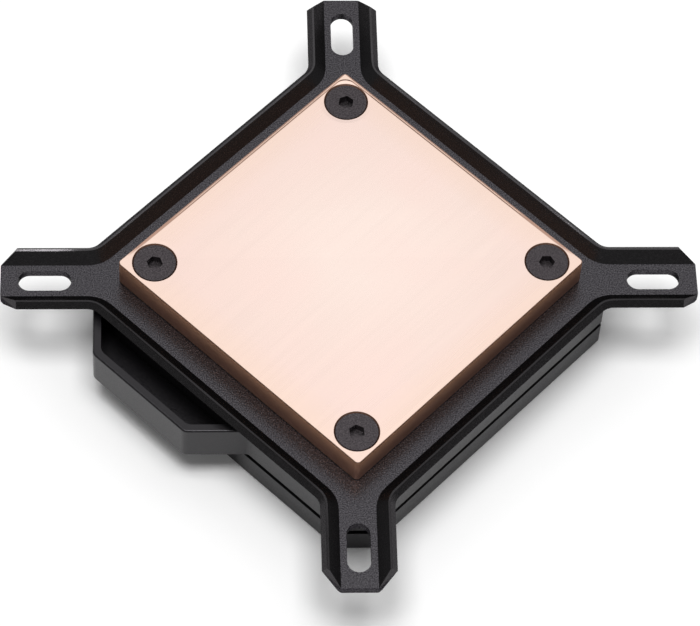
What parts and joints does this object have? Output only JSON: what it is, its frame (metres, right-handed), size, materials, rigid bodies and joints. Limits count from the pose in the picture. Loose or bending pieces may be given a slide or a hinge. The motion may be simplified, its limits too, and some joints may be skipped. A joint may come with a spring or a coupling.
{
  "type": "cpu water block",
  "caption": "Square liquid cooling block with a copper cold plate, slotted four-arm bracket, moulded housing with a side pocket, and two threaded ports.",
  "frame": {"origin": "middle of the top cover's outer face, which the block lies on, with the cold plate up", "axes": "+Z from the top cover to the cold plate; the bracket's arms lie along X and Y, and the square body is turned 45 degrees between them"},
  "size_m": [0.1234, 0.1234, 0.0218],
  "materials": {
    "bracket_coat": "fine textured black powder coat",
    "copper": "fine brushed bare copper",
    "port_block_plastic": "smooth moulded black",
    "housing_plastic": "satin moulded black",
    "cover_plastic": "satin moulded black",
    "jet_steel": "rolled stainless sheet",
    "seal_rubber": "matte black rubber",
    "black_screw": "black oxide, satin",
    "insert_brass": "bright drawn hexagon bar",
    "zinc_screw": "bright zinc plate"
  },
  "bodies": {
    "root": {"bracket": "bracket_coat", "cold_plate": "copper", "manifold": "port_block_plastic", "housing": "housing_plastic", "top_cover": "cover_plastic", "jet_plate": "jet_steel", "flow_gasket": "seal_rubber", "main_seal": "seal_rubber", "plate_screw_1": "black_screw", "plate_screw_2": "black_screw", "plate_screw_3": "black_screw", "plate_screw_4": "black_screw", "insert_1": "insert_brass", "insert_2": "insert_brass", "insert_3": "insert_brass", "insert_4": "insert_brass", "cover_screw_1": "zinc_screw", "cover_screw_2": "zinc_screw", "cover_screw_3": "zinc_screw", "cover_screw_4": "zinc_screw"}
  },
  "joints": []
}
